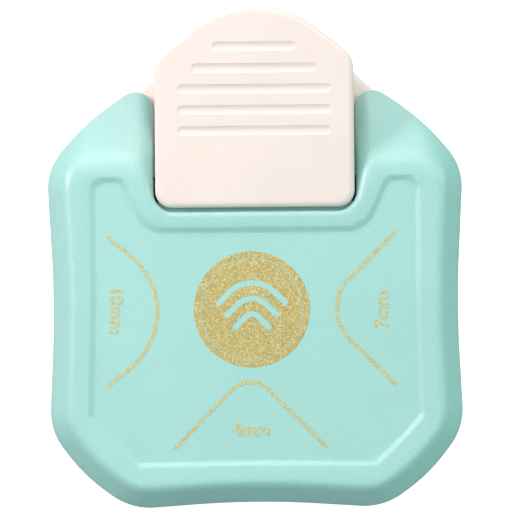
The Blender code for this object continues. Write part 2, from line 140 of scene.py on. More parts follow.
# Half outlines as (x, y, corner radius), from the front middle to the rear middle
HOUSING_OUTLINE = [
    (0, -29.25, 140.0),
    (19.58, -30.59, 10.0),
    (26.7, -25.35, 27.0),
    (32.06, -18.36, 9.5),
    (31.11, 1.02, 160.0),
    (32.22, 22.13, 8.7),
    (25.6, 29.95, 40.0),
    (15.7, 36.6, 2.8),
    (15.65, 15.4, 3.0),
    (0, 15.4, 0),
]
HOUSING_CREST = [
    (0, -26.5, 140.0),
    (18.6, -27.75, 7.4),
    (24.8, -23.3, 24.0),
    (29.3, -17.4, 7.0),
    (28.4, 1.1, 160.0),
    (28.7, 22.8, 5.5),
    (22.4, 22.95, 40.0),
    (16.3, 22.8, 3.0),
    (16.3, 15.0, 3.4),
    (0, 15.0, 0),
]
PANEL_EDGE = [
    (0, -23.2, 140.0),
    (18.2, -23.4, 1.8),
    (22.0, -19.95, 40.0),
    (25.3, -16.2, 2.0),
    (24.85, 1.1, 160.0),
    (24.9, 20.2, 2.5),
    (22.23, 20.21, 3.0),
    (20.7, 20.2, 2.2),
    (17.0, 12.35, 4.0),
    (0, 12.35, 0),
]
BASE_OUTLINE = [
    (0, -28.95, 140.0),
    (19.45, -30.25, 10.0),
    (26.45, -25.1, 27.0),
    (31.75, -18.25, 9.5),
    (30.8, 1.0, 160.0),
    (32.05, 22.1, 9.0),
    (10.8, 41.65, 8.0),
    (0, 43.7, 15.0),
]
REAR_DECK = [
    (0, 16.6, 0),
    (15.2, 16.6, 1.0),
    (15.2, 36.4, 1.0),
    (10.0, 40.4, 7.0),
    (0, 42.4, 30.0),
]
LEVER_OUTLINE = [
    (0, LEVER_FRONT, 0),
    (15.4, LEVER_FRONT, 2.6),
    (15.3, 39.2, 4.0),
    (0, 50.9, 15.5),
]
DIE_SEAT_OUTLINE = [
    (0, -19.8, 0),
    (15.62, -19.8, 1.8),
    (23.8, -11.62, 1.8),
    (23.8, 9.92, 1.8),
    (19.62, 14.1, 1.8),
    (0, 14.1, 0),
]
DOOR_OUTLINE = [
    (0, -15.4, 0),
    (21.2, -15.4, 1.5),
    (21.2, 13.4, 1.5),
    (0, 13.4, 0),
]

# Into how many pieces each straight stretch of a half outline is cut
HOUSING_EDGES = (8, 4, 4, 10, 12, 8, 10, 24, 8)
BASE_EDGES = (8, 4, 4, 8, 8, 12, 6)
LEVER_EDGES = (8, 14, 10)

# Shares of the way from the cover's outline to its crest, closer at the wall's edge and the crest
SIDE_STATIONS = (
    *(0.0, 0.012, 0.03, 0.06, 0.1, 0.15, 0.21, 0.28, 0.36),
    *(0.45, 0.54, 0.63, 0.71, 0.79, 0.86, 0.93, 1.0),
)
RIM_STATIONS = (0.08, 0.18, 0.3, 0.45, 0.62, 0.8, 1.0)
STEP_TURNS = 9


# ---- nodes of a material -----------------------------------------------------------------------


class Kit:
    """One material's node tree, with short calls for the nodes that every finish here uses."""

    def __init__(self, name, **sockets):
        self.material = bpy.data.materials.new(name)
        self.material.use_nodes = True
        self.tree = self.material.node_tree
        self.shader = self.tree.nodes["Principled BSDF"]
        self.place = self.node("ShaderNodeTexCoord").outputs["Object"]
        for socket, value in sockets.items():
            self.shader.inputs[socket.replace("_", " ")].default_value = value

    def node(self, kind, **settings):
        made = self.tree.nodes.new(kind)
        for key, value in settings.items():
            setattr(made, key, value)
        return made

    def link(self, source, target):
        self.tree.links.new(source, target)

    def stretched(self, scale):
        """Object coordinates multiplied by (x, y, z) factors."""
        mapping = self.node("ShaderNodeMapping")
        mapping.inputs["Scale"].default_value = scale
        self.link(self.place, mapping.inputs["Vector"])
        return mapping.outputs["Vector"]

    def noise(self, scale, detail=2.0, roughness=0.5, vector=None):
        made = self.node("ShaderNodeTexNoise")
        made.inputs["Scale"].default_value = scale
        made.inputs["Detail"].default_value = detail
        made.inputs["Roughness"].default_value = roughness
        self.link(vector or self.place, made.inputs["Vector"])
        return made.outputs["Fac"]

    def cells(self, scale):
        """A random value for each small cell, for flakes."""
        made = self.node("ShaderNodeTexVoronoi")
        made.inputs["Scale"].default_value = scale
        self.link(self.place, made.inputs["Vector"])
        return made.outputs["Color"]

    def ramp(self, source, stops):
        """A colour ramp from (position, (r, g, b)) or (position, grey) stops."""
        made = self.node("ShaderNodeValToRGB")
        elements = made.color_ramp.elements
        while len(elements) < len(stops):
            elements.new(1.0)
        for element, (position, colour) in zip(elements, stops):
            element.position = position
            rgb = colour if isinstance(colour, tuple) else (colour,) * 3
            element.color = (*rgb, 1.0)
        self.link(source, made.inputs["Fac"])
        return made.outputs["Color"]

    def mix(self, factor, first, second):
        made = self.node("ShaderNodeMix", data_type="RGBA")
        for socket, value in ((made.inputs[0], factor), (made.inputs[6], first), (made.inputs[7], second)):
            if isinstance(value, bpy.types.NodeSocket):
                self.link(value, socket)
            else:
                socket.default_value = value if socket == made.inputs[0] else (*value, 1.0)
        return made.outputs[2]

    def edges(self, low, high):
        """White on convex edges, black elsewhere."""
        pointiness = self.node("ShaderNodeNewGeometry").outputs["Pointiness"]
        return self.ramp(pointiness, [(low, 0.0), (high, 1.0)])

    def bump(self, *layers):
        """Stacks (height, distance in metres, strength) layers into the shader's normal."""
        normal = None
        for height, distance, strength in layers:
            made = self.node("ShaderNodeBump")
            made.inputs["Distance"].default_value = distance
            made.inputs["Strength"].default_value = strength
            self.link(height, made.inputs["Height"])
            if normal:
                self.link(normal, made.inputs["Normal"])
            normal = made.outputs["Normal"]
        self.link(normal, self.shader.inputs["Normal"])

    def colour(self, source):
        self.link(source, self.shader.inputs["Base Color"])

    def roughness(self, source):
        self.link(source, self.shader.inputs["Roughness"])


def scaled(colour, factor):
    return tuple(min(channel * factor, 1.0) for channel in colour)


FINE_GRAIN = 4200.0  # the scale of the mould's spark-eroded grain


def moulded_plastic(name, colour, rubbed, rough, grain, sheen):
    """Moulded plastic: fine grain, slow drift of shade, darker flecks, paler rubbed edges."""
    kit = Kit(name, Specular_IOR_Level=sheen)
    drift = kit.noise(95.0, detail=4.0)
    body = kit.ramp(drift, [(0.3, scaled(colour, 0.975)), (0.7, scaled(colour, 1.02))])
    speck = kit.noise(FINE_GRAIN, detail=1.0)
    flecked = kit.mix(kit.ramp(speck, [(0.36, 0.0), (0.66, 0.42 * grain)]), body, scaled(colour, 0.80))
    worn = kit.mix(kit.edges(0.535, 0.66), flecked, rubbed)
    kit.colour(worn)
    smear = kit.noise(240.0, detail=5.0, roughness=0.6)
    kit.roughness(kit.ramp(smear, [(0.25, rough[0]), (0.8, rough[1])]))
    fine = kit.noise(FINE_GRAIN, detail=2.0)
    waves = kit.noise(130.0, detail=1.0)
    kit.bump((waves, 0.00012, 0.25), (fine, 0.00003, grain))
    return kit.material


def ground_steel():
    """Surface-ground hardened plate: fine parallel lines and a few darker stains of oil."""
    kit = Kit("ground_steel", Metallic=1.0)
    lines = kit.noise(900.0, detail=6.0, roughness=0.7, vector=kit.stretched((0.06, 1.0, 1.0)))
    stain = kit.noise(110.0, detail=4.0)
    bright = kit.ramp(lines, [(0.25, (0.40, 0.41, 0.43)), (0.75, (0.66, 0.67, 0.69))])
    kit.colour(kit.mix(kit.ramp(stain, [(0.5, 0.0), (0.8, 0.35)]), bright, (0.30, 0.29, 0.28)))
    kit.roughness(kit.ramp(lines, [(0.2, 0.22), (0.8, 0.42)]))
    kit.bump((lines, 0.00001, 0.6))
    return kit.material


def polished_steel():
    """Centreless-ground pins and posts, with faint rings round them."""
    kit = Kit("polished_steel", Metallic=1.0)
    rings = kit.noise(2600.0, detail=3.0, vector=kit.stretched((1.0, 0.05, 1.0)))
    kit.colour(kit.ramp(rings, [(0.3, (0.50, 0.51, 0.53)), (0.7, (0.68, 0.69, 0.71))]))
    kit.roughness(kit.ramp(rings, [(0.2, 0.12), (0.8, 0.26)]))
    kit.bump((rings, 0.000006, 0.5))
    return kit.material


def spring_wire():
    kit = Kit("spring_wire", Metallic=1.0)
    drawn = kit.noise(1500.0, detail=3.0)
    kit.colour(kit.ramp(drawn, [(0.3, (0.42, 0.42, 0.44)), (0.7, (0.62, 0.62, 0.64))]))
    kit.roughness(kit.ramp(drawn, [(0.2, 0.2), (0.8, 0.36)]))
    kit.bump((drawn, 0.00001, 0.4))
    return kit.material


def zinc_plate():
    """Bright zinc on screws: bluish grey with a faint yellow cast and a dull bloom."""
    kit = Kit("zinc_plate", Metallic=1.0)
    bloom = kit.noise(420.0, detail=5.0, roughness=0.6)
    kit.colour(kit.ramp(bloom, [(0.3, (0.58, 0.60, 0.63)), (0.7, (0.74, 0.73, 0.70))]))
    kit.roughness(kit.ramp(bloom, [(0.2, 0.25), (0.8, 0.48)]))
    kit.bump((kit.noise(3000.0), 0.000012, 0.5))
    return kit.material


def turned_brass():
    kit = Kit("turned_brass", Metallic=1.0)
    rings = kit.noise(2400.0, detail=2.0, vector=kit.stretched((0.06, 0.06, 1.0)))
    tarnish = kit.noise(260.0, detail=4.0)
    bright = kit.ramp(rings, [(0.3, (0.70, 0.50, 0.20)), (0.7, (0.87, 0.66, 0.32))])
    kit.colour(kit.mix(kit.ramp(tarnish, [(0.5, 0.0), (0.8, 0.4)]), bright, (0.42, 0.28, 0.12)))
    kit.roughness(kit.ramp(tarnish, [(0.2, 0.2), (0.8, 0.42)]))
    kit.bump((rings, 0.00001, 0.6))
    return kit.material


def soft_rubber():
    kit = Kit("soft_rubber", Specular_IOR_Level=0.3)
    dust = kit.noise(700.0, detail=5.0, roughness=0.7)
    kit.colour(kit.ramp(dust, [(0.35, (0.018, 0.018, 0.019)), (0.8, (0.075, 0.073, 0.070))]))
    kit.roughness(kit.ramp(dust, [(0.2, 0.65), (0.8, 0.92)]))
    kit.bump((kit.noise(2600.0, detail=3.0), 0.00004, 0.6))
    return kit.material


def gold_foil(name, bare, paleness):
    """Hot-stamped foil broken up by the plastic's grain into small bright flakes.

    Where a fine noise is below bare, the foil has come off and shows the mint plastic.
    """
    kit = Kit(name)
    flakes = kit.cells(6000.0)
    drift = kit.noise(380.0, detail=3.0)
    tones = [(0.1, (0.45, 0.37, 0.15)), (0.5, (0.57, 0.465, 0.185)), (0.9, (0.78, 0.655, 0.31))]
    fleck = kit.ramp(flakes, tones)
    gold = kit.mix(kit.ramp(drift, [(0.4, 0.0), (0.7, 0.3)]), fleck, (0.60, 0.485, 0.20))
    whole = kit.mix(paleness, gold, (0.66, 0.74, 0.50))
    stuck = kit.ramp(kit.noise(3300.0, detail=1.0), [(bare - 0.04, 0.0), (bare + 0.04, 1.0)])
    kit.colour(kit.mix(stuck, MINT_COLOUR, whole))
    kit.link(stuck, kit.shader.inputs["Metallic"])
    kit.roughness(kit.ramp(flakes, [(0.1, 0.6), (0.9, 0.42)]))
    kit.bump((kit.noise(3600.0, detail=2.0), 0.00003, 0.4))
    return kit.material


MINT = moulded_plastic("mint_plastic", MINT_COLOUR, (0.35, 0.68, 0.63), (0.38, 0.48), grain=1.0, sheen=1.0)
CREAM = moulded_plastic(
    "cream_plastic", CREAM_COLOUR, (0.90, 0.80, 0.745), (0.36, 0.48), grain=0.3, sheen=0.62
)
CARRIER = moulded_plastic(
    "carrier_plastic", CARRIER_COLOUR, (0.5, 0.5, 0.51), (0.42, 0.58), grain=0.8, sheen=0.62
)
PLATE_STEEL = ground_steel()
PIN_STEEL = polished_steel()
WIRE = spring_wire()
ZINC = zinc_plate()
BRASS = turned_brass()
RUBBER = soft_rubber()
FOIL = gold_foil("gold_foil", bare=0.3, paleness=0.0)
THIN_FOIL = gold_foil("thin_gold_foil", bare=0.39, paleness=0.35)


# ---- outlines ----------------------------------------------------------------------------------


def mirrored(half):
    """The closed outline of a half outline whose two ends lie on the middle line."""
    return half + [(-x, y, r) for x, y, r in reversed(half[1:-1])]


def inset(half, distance):
    """A half outline with each side moved inwards, or outwards where the distance is negative.

    Either way a convex corner gets tighter and a hollow one rounder.
    """
    corners = mirrored(half)
    count = len(corners)
    moved = []
    for i in range(len(half)):
        before, here, after = (Vector(corners[j % count][:2]) for j in (i - 1, i, i + 1))
        first = (here - before).normalized()
        second = (after - here).normalized()
        first_in = Vector((-first.y, first.x))
        second_in = Vector((-second.y, second.x))
        middle = (first_in + second_in).normalized()
        point = here + middle * (distance / middle.dot(first_in))
        radius = half[i][2]
        if radius:
            turn = first.x * second.y - first.y * second.x
            radius = max(radius - math.copysign(distance, turn), 0.4)
        moved.append((point.x, point.y, radius))
    return moved


def corner_arc(corners, i):
    """The points of corner i's arc, or the corner itself where it has no radius."""
    x, y, radius = corners[i]
    here = Vector((x, y))
    if not radius:
        return [here]
    to_before = (Vector(corners[i - 1][:2]) - here).normalized()
    to_after = (Vector(corners[(i + 1) % len(corners)][:2]) - here).normalized()
    half_angle = to_before.angle(to_after) / 2
    centre = here + (to_before + to_after).normalized() * (radius / math.sin(half_angle))
    start = here + to_before * (radius / math.tan(half_angle)) - centre
    turn = start.angle_signed(here + to_after * (radius / math.tan(half_angle)) - centre)
    points = []
    for step in range(ARC_STEPS + 1):
        arm = start.copy()
        arm.rotate(Matrix.Rotation(-turn * step / ARC_STEPS, 2))
        points.append(centre + arm)
    return points


def outline(half, edges=None):
    """The closed outline's points, its straight stretches cut into edges[i] pieces each."""
    corners = mirrored(half)
    edges = edges or [1] * (len(half) - 1)
    pieces = [*edges, *reversed(edges)]
    arcs = [corner_arc(corners, i) for i in range(len(corners))]
    points = []
    for i, arc in enumerate(arcs):
        points += arc
        after = arcs[(i + 1) % len(arcs)][0]
        points += [arc[-1].lerp(after, step / pieces[i]) for step in range(1, pieces[i])]
    return points


def circle(x, y, radius, sides=ROUND_SIDES):
    angles = [2 * math.pi * step / sides for step in range(sides)]
    return [Vector((x + radius * math.cos(a), y + radius * math.sin(a))) for a in angles]


def turned_about(points, centre, angle):
    """Points given about the origin, turned and moved to a centre."""
    return [Vector(centre) + Matrix.Rotation(angle, 2) @ point for point in points]


def blend(first, second, share):
    """The half outline a share of the way from the first to the second."""
    return [tuple(a + (b - a) * share for a, b in zip(p, q)) for p, q in zip(first, second)]


def level(points, z):
    return [(point.x, point.y, z) for point in points]


def paper_wedge(name, margin):
    """The right-angled V that a paper corner fills, a margin wider on each side."""
    apex, turn = APEXES[name]
    back = margin * math.sqrt(2)
    corners = [(-back, 0), (PAPER_REACH, -PAPER_REACH - back), (PAPER_REACH, PAPER_REACH + back)]
    return turned_about([Vector(corner) for corner in corners], apex, turn)


def clamped(share):
    return min(max(share, 0.0), 1.0)


def smoothstep(share):
    share = clamped(share)
    return share * share * (3 - 2 * share)


# ---- solids ------------------------------------------------------------------------------------


def place(point):
    x, y, z = point
    return Vector((x, y - MIDDLE_Y, z)) * MM


def spot(node):
    """The middle of a CAD node's box, in this script's millimetres."""
    low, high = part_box(node)
    middle = (low + high) / 2 / MM
    return middle.x, middle.y + MIDDLE_Y, middle.z


def solid(name, build, material=None, sharp=35.0):
    """An object from the mesh that build(bm) makes in millimetres."""
    bm = bmesh.new()
    build(bm)
    bmesh.ops.recalc_face_normals(bm, faces=bm.faces)
    if bm.calc_volume(signed=True) < 0:
        bmesh.ops.reverse_faces(bm, faces=bm.faces)
    for vertex in bm.verts:
        vertex.co = place(vertex.co)
    mesh = bpy.data.meshes.new(name)
    bm.to_mesh(mesh)
    bm.free()
    mesh.shade_smooth()
    mesh.set_sharp_from_angle(angle=math.radians(sharp))
    obj = bpy.data.objects.new(name, mesh)
    bpy.context.scene.collection.objects.link(obj)
    if material:
        mesh.materials.append(material)
    return obj


def loft(name, rings, material=None, capped=True, sharp=35.0):
    """A solid through rings of equal length. Without caps the last ring joins the first."""

    def build(bm):
        made = [[bm.verts.new(point) for point in ring] for ring in rings]
        pairs = list(zip(made, made[1:]))
        if not capped:
            pairs.append((made[-1], made[0]))
        for low, high in pairs:
            for i in range(len(low)):
                bm.faces.new((low[i - 1], low[i], high[i], high[i - 1]))
        if capped:
            bm.faces.new(reversed(made[0]))
            bm.faces.new(made[-1])

    return solid(name, build, material, sharp)


def prism(name, points, low, high):
    return loft(name, [level(points, low), level(points, high)])


def box(name, low, high):
    corners = [(low[0], low[1]), (high[0], low[1]), (high[0], high[1]), (low[0], high[1])]
    return prism(name, [Vector(corner) for corner in corners], low[2], high[2])


def turned(name, x, y, profile, material=None, bored=False):
    """A round piece on a vertical axis, from (radius, z) points going up its outside."""
    rings = [level(circle(x, y, radius), z) for radius, z in profile]
    return loft(name, rings, material, capped=not bored, sharp=30.0)


def cross_turned(name, y, z, profile, material=None, bored=False, x=0.0):
    """A round piece along X, from (radius, x) points going to +X along its outside."""
    rings = []
    for radius, along in profile:
        rings.append([(x + along, y + p.x, z + p.y) for p in circle(0, 0, radius)])
    return loft(name, rings, material, capped=not bored, sharp=30.0)


def side_plate(name, profile, x_low, x_high):
    """A plate square to X, from its (y, z) profile."""
    return loft(name, [[(x, y, z) for y, z in profile] for x in (x_low, x_high)])


def combine(obj, operation, tools):
    """Applies Booleans of obj with each tool, and removes the tools."""
    for tool in tools:
        modifier = obj.modifiers.new(tool.name, "BOOLEAN")
        modifier.operation = operation
        modifier.solver = "EXACT"
        modifier.object = tool
    bake_modifiers(obj)
    for tool in tools:
        bpy.data.objects.remove(tool, do_unlink=True)


def bake_modifiers(obj):
    """Replaces obj's mesh with what its modifiers make of it."""
    graph = bpy.context.evaluated_depsgraph_get()
    baked = bpy.data.meshes.new_from_object(obj.evaluated_get(graph))
    obj.modifiers.clear()
    obj.data = baked


def soften(obj, sharp=35.0):
    """Joins doubled points and sets where the shading breaks."""
    bm = bmesh.new()
    bm.from_mesh(obj.data)
    bmesh.ops.remove_doubles(bm, verts=bm.verts, dist=WELD_DISTANCE)
    bm.to_mesh(obj.data)
    bm.free()
    obj.data.shade_smooth()
    obj.data.set_sharp_from_angle(angle=math.radians(sharp))


def stand_for(obj, node, body):
    """The piece replaces a CAD node and moves with that node's body."""
    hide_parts(node)
    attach(obj, body)


def pair(node_prefix):
    """The left and the right node of a mirrored piece, each with where it stands: (node, x, y)."""
    for side in ("left", "right"):
        node = f"{node_prefix}_{side}"
        x, y, _ = spot(node)
        yield node, x, y


# ---- cover -------------------------------------------------------------------------------------


def side_height(inside):
    """Height of the cover's side, a distance inside its outline."""
    slope = BAND_LOW + BAND_SLOPE * inside
    edge = max(1 - inside / WALL_EDGE, 0.0)
    rounding = WALL_EDGE_DROP * WALL_EDGE * (1 - math.sqrt(1 - edge * edge))
    return soft_min(slope, CREST, CREST_SOFTNESS) - rounding


def lobe_height(y):
    return CREST - LOBE_SLOPE * (y - LOBE_Y)


def soft_min(first, second, reach):
    """The lower of two heights, rounded where they cross."""
    overlap = max(reach - abs(first - second), 0.0) / reach
    return min(first, second) - overlap * overlap * reach / 4


def notch_distance(x, y):
    """How far a point lies from the lever's notch in the cover."""
    across = abs(x) - (NOTCH_HALF - NOTCH_RADIUS)
    along = (NOTCH_FRONT + NOTCH_RADIUS) - y
    if across > 0 and along > 0:
        return math.hypot(across, along) - NOTCH_RADIUS
    return max(across, along) - NOTCH_RADIUS


def notch_drop(x, y):
    """How much the rounded lip beside the lever lowers the cover."""
    radius = LIP_RADIUS + LIP_GROWTH * smoothstep((y - LIP_GROWTH_START) / LIP_GROWTH_LENGTH)
    distance = max(notch_distance(x, y), 0.0)
    if distance >= radius:
        return 0.0
    return radius - math.sqrt(radius * radius - (radius - distance) ** 2)


def outer_border():
    """The cover's outline from the front middle to the end of its right shoulder."""
    corners = mirrored(HOUSING_OUTLINE)
    shoulder_end = 8
    return [point for i in range(shoulder_end) for point in corner_arc(corners, i) if point.x >= 0]


def outer_distance(x, y, border):
    """Distance from a point to the cover's outer outline."""
    point = Vector((abs(x), y))
    best = 1e9
    for start, end in zip(border, border[1:]):
        along = end - start
        share = clamped((point - start).dot(along) / along.length_squared)
        best = min(best, (start + along * share - point).length)
    return best


def cover_height(x, y, border):
    side = side_height(outer_distance(x, y, border))
    return soft_min(side, lobe_height(y), LOBE_SOFTNESS) - notch_drop(x, y)


def cover_side_rings():
    border = outer_border()
    rings = []
    for share in SIDE_STATIONS:
        points = outline(blend(HOUSING_OUTLINE, HOUSING_CREST, share), HOUSING_EDGES)
        rings.append([(p.x, p.y, cover_height(p.x, p.y, border)) for p in points])
    return rings


def rim_rings():
    """The gently crowned band between the crest and the panel, and the soft step down to it."""
    border = outer_border()
    step_out = inset(PANEL_EDGE, STEP_OUT)
    step_in = inset(PANEL_EDGE, STEP_IN)
    rings = []
    for share in RIM_STATIONS:
        points = outline(blend(HOUSING_CREST, step_out, share), HOUSING_EDGES)
        fall = RIM_FALL * share * share
        rings.append([(p.x, p.y, cover_height(p.x, p.y, border) - fall) for p in points])
    for step in range(1, STEP_TURNS + 1):
        share = step / STEP_TURNS
        points = outline(blend(step_out, step_in, share), HOUSING_EDGES)
        down = smoothstep(share)
        ring = []
        for p in points:
            high = cover_height(p.x, p.y, border) - RIM_FALL
            ring.append((p.x, p.y, high + (PANEL - high) * down))
        rings.append(ring)
    rings.append(level(outline(inset(PANEL_EDGE, STEP_IN + 0.5), HOUSING_EDGES), PANEL))
    return rings


def cover_inner_rings():
    """The inside from the ceiling down, which stays under the falling rear shoulders."""
    rings = []
    for half, top in (
        (inset(HOUSING_CREST, WALL), CEILING),
        (inset(HOUSING_OUTLINE, WALL + INNER_DRAFT), INNER_SHOULDER),
        (inset(HOUSING_OUTLINE, WALL), INNER_WALL_TOP),
        (inset(HOUSING_OUTLINE, WALL), HOUSING_LOW),
    ):
        ring = []
        for p in outline(half, HOUSING_EDGES):
            under_lobe = lobe_height(p.y) - LOBE_THICKNESS
            ring.append((p.x, p.y, max(min(top, under_lobe), HOUSING_LOW)))
        rings.append(ring)
    return rings


SCREW_BORE = 1.4  # the way of a housing screw's shank


def cover():
    border_low = level(outline(HOUSING_OUTLINE, HOUSING_EDGES), HOUSING_LOW)
    rings = cover_inner_rings() + [border_low] + cover_side_rings() + rim_rings()
    shell = loft("cover_shell", rings, MINT)
    added = []
    ways = [box("lever_way", (-15.4, 12.0, 5.0), (15.4, 16.9, 24.8))]
    for side in (-1, 1):
        x_low, x_high = sorted((side * 15.9, side * 19.8))
        added.append(box(f"pin_bracket_{side}", (x_low, -25.6, 14.9), (x_high, -20.2, 25.0)))
    for row in ("front", "rear"):
        for node, x, y in pair(f"housing_screw_{row}"):
            added.append(turned(f"boss_{node}", x, y, [(2.8, HOUSING_LOW + 0.05), (2.8, 24.9)]))
            ways.append(turned(f"pilot_{node}", x, y, [(SCREW_BORE, 5.0), (SCREW_BORE, 18.0)]))
    ways.append(cross_turned("pin_bore", PIVOT_Y, PIVOT_Z, [(PIVOT_BORE, -18.6), (PIVOT_BORE, 18.6)]))
    for name in APEXES:
        ways.append(prism(f"slot_{name}", paper_wedge(name, SLOT_MARGIN), 5.0, SLOT_TOP))
    combine(shell, "UNION", added)
    combine(shell, "DIFFERENCE", ways)
    soften(shell)
    stand_for(shell, "top_housing", "body")


# ---- lever -------------------------------------------------------------------------------------


def lever_top(y):
    return LEVER_FRONT_TOP + LEVER_SLOPE * (y - LEVER_FRONT)


def lever_ring(distance, drop):
    points = outline(inset(LEVER_OUTLINE, distance), LEVER_EDGES)
    return [(p.x, p.y, lever_top(p.y) - drop) for p in points]


def grip_groove(y, length):
    """A cutter for one grip groove: a round-ended bar that dips into the lever's top."""
    half = length / 2 - GROOVE_HALF_WIDTH
    profile = []
    for step in range(GROOVE_END_STEPS + 1):
        angle = math.pi / 2 * step / GROOVE_END_STEPS
        radius = max(GROOVE_RADIUS * math.sin(angle), 0.01)
        profile.append((radius, -half - GROOVE_RADIUS * math.cos(angle)))
    profile += [(radius, -along) for radius, along in reversed(profile)]
    return cross_turned(f"groove_{y}", y, lever_top(y) + GROOVE_RAISED, profile)


def lever_shell():
    rings = [lever_ring(1.9, 1.9), lever_ring(1.7, LEVER_SKIRT), lever_ring(0.25, LEVER_SKIRT)]
    rings += [lever_ring(0.0, LEVER_SKIRT - 0.25), lever_ring(0.0, LEVER_EDGE)]
    for step in range(1, QUARTER_STEPS + 1):
        angle = math.pi / 2 * step / QUARTER_STEPS
        rings.append(lever_ring(LEVER_EDGE * (1 - math.cos(angle)), LEVER_EDGE * (1 - math.sin(angle))))
    rings.append(lever_ring(LEVER_EDGE + 0.5, 0.0))
    shell = loft("press_lever", rings, CREAM)
    arm = [
        (22.0, 24.1),
        (-20.0, 24.1),
        (-25.2, 18.6),
        (-24.6, 15.2),
        (-21.8, 15.2),
        (-17.0, 20.3),
        (4.5, 20.3),
        (5.5, 21.5),
        (11.5, 21.5),
        (12.7, 20.3),
        (16.0, 20.3),
        (22.0, 21.6),
    ]
    added = [box("tongue", (-13.0, 13.5, 20.31), (13.0, 17.2, 24.05))]
    for side in (-1, 1):
        ends = sorted((side * 11.9, side * 15.1))
        added.append(side_plate(f"arm_{side}", arm, *ends))
        eye = [(2.6, -1.58), (2.6, 1.58)]
        added.append(cross_turned(f"eye_{side}", PIVOT_Y, PIVOT_Z, eye, x=side * 13.5))
    combine(shell, "UNION", added)
    ways = [
        cross_turned("pivot_bore", PIVOT_Y, PIVOT_Z, [(PIVOT_BORE, -20.0), (PIVOT_BORE, 20.0)]),
        cross_turned("roller_bore", ROLLER_Y, ROLLER_Z, [(ROLLER_BORE, -20.0), (ROLLER_BORE, 20.0)]),
    ]
    ways += [grip_groove(y, length) for y, length in GROOVES]
    combine(shell, "DIFFERENCE", ways)
    soften(shell, sharp=20.0)
    stand_for(shell, "lever", "lever")


# ---- base --------------------------------------------------------------------------------------


def base_ring(distance, z):
    return level(outline(inset(BASE_OUTLINE, distance), BASE_EDGES), z)


def base_tray():
    low, foot_edge, top_edge = 0.8, 1.2, 1.0
    turns = 6
    rings = []
    for step in range(turns + 1):
        angle = math.pi / 2 * step / turns
        rings.append(base_ring(foot_edge * (1 - math.sin(angle)), low + foot_edge * (1 - math.cos(angle))))
    for step in range(turns + 1):
        angle = math.pi / 2 * step / turns
        rings.append(base_ring(top_edge * (1 - math.cos(angle)), DECK - top_edge * (1 - math.sin(angle))))
    tray = loft("base_tray", rings, CREAM)
    deck_low = outline(REAR_DECK)
    deck_top = outline(inset(REAR_DECK, 0.5))
    deck = loft("rear_deck", [level(deck_low, 9.0), level(deck_low, 12.1), level(deck_top, 12.5)])
    combine(tray, "UNION", [deck])
    die_low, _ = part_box("die_plate")
    door_pin_way = [(DOOR_PIN_BORE, -12.9), (DOOR_PIN_BORE, 12.9)]
    ways = [
        prism("die_seat", outline(DIE_SEAT_OUTLINE), die_low.z / MM - 0.3, 15.0),
        box("chip_chamber", (-19.8, -12.9, -1.0), (19.8, 10.2, 9.0)),
        box("door_seat", (-21.6, -15.8, -1.0), (21.6, 13.8, 3.1)),
        box("hinge_seat", (-10.4, 12.5, -1.0), (10.4, 17.4, 3.5)),
        box("finger_way", (-6.0, -18.6, -1.0), (6.0, -15.0, 2.2)),
        cross_turned("door_pin_bore", DOOR_PIN_Y, DOOR_PIN_Z, door_pin_way),
        box("rear_hollow", (-12.5, 19.5, -1.0), (12.5, 31.0, 10.4)),
    ]
    for row in ("front", "rear"):
        for node, x, y in pair(f"housing_screw_{row}"):
            way = [(2.7, -1.0), (2.7, 3.0), (SCREW_BORE, 3.0), (SCREW_BORE, 11.0)]
            ways.append(turned(f"way_{node}", x, y, way))
        for node, x, y in pair(f"plate_screw_{row}"):
            ways.append(turned(f"way_{node}", x, y, [(1.2, 4.2), (1.2, 9.0)]))
        for node, x, y in pair(f"rubber_foot_{row}"):
            ways.append(turned(f"way_{node}", x, y, [(3.5, -1.0), (3.5, 1.6)]))
    combine(tray, "DIFFERENCE", ways)
    soften(tray)
    stand_for(tray, "base", "body")


def chip_door():
    low, top = 1.2, 2.8
    rings = []
    for distance, z in ((0.5, low), (0.15, low + 0.12), (0.0, low + 0.45), (0.0, top - 0.3), (0.3, top)):
        rings.append(level(outline(inset(DOOR_OUTLINE, distance)), z))
    door = loft("chip_door_lid", rings, CREAM)
    added = [
        box("hinge_leaf", (-9.9, 12.0, low + 0.01), (9.9, DOOR_PIN_Y, top - 0.01)),
        cross_turned("knuckle", DOOR_PIN_Y, DOOR_PIN_Z, [(1.15, -10.0), (1.15, 10.0)]),
    ]
    combine(door, "UNION", added)
    bore = [(DOOR_PIN_BORE, -11.0), (DOOR_PIN_BORE, 11.0)]
    ways = [cross_turned("knuckle_bore", DOOR_PIN_Y, DOOR_PIN_Z, bore)]
    for i in range(5):
        y = -12.6 + 1.1 * i
        profile = [(0.01, -6.0), (0.45, -5.6), (0.45, 5.6), (0.01, 6.0)]
        ways.append(cross_turned(f"door_grip_{i}", y, low - 0.15, profile))
    combine(door, "DIFFERENCE", ways)
    soften(door)
    stand_for(door, "chip_door", "chip_door")


# ---- turned parts ------------------------------------------------------------------------------


def cross_recess(name, x, y, low, high, width):
    """A cutter for a cross drive, tapering a little into the head."""
    arms = []
    for turn in (0.0, math.pi / 2):
        rings = []
        for z, share in ((low, 1.0), (high, 0.7)):
            half_long, half_wide = width * share, width * 0.2 * share
            signs = ((-1, -1), (1, -1), (1, 1), (-1, 1))
            corners = [Vector((half_long * along, half_wide * aside)) for along, aside in signs]
            rings.append(level(turned_about(corners, (x, y), turn), z))
        arms.append(loft(f"{name}_{turn:.0f}", rings))
    return arms


def screw_thread(low, high, radius, pitch, depth):
    """The profile of turned rings close enough together to read as a thread."""
    profile = []
    count = int((high - low) / pitch)
    for i in range(count):
        z = low + i * pitch
        profile += [(radius - depth, z), (radius, z + pitch * 0.5)]
    profile.append((radius - depth, low + count * pitch))
    return profile


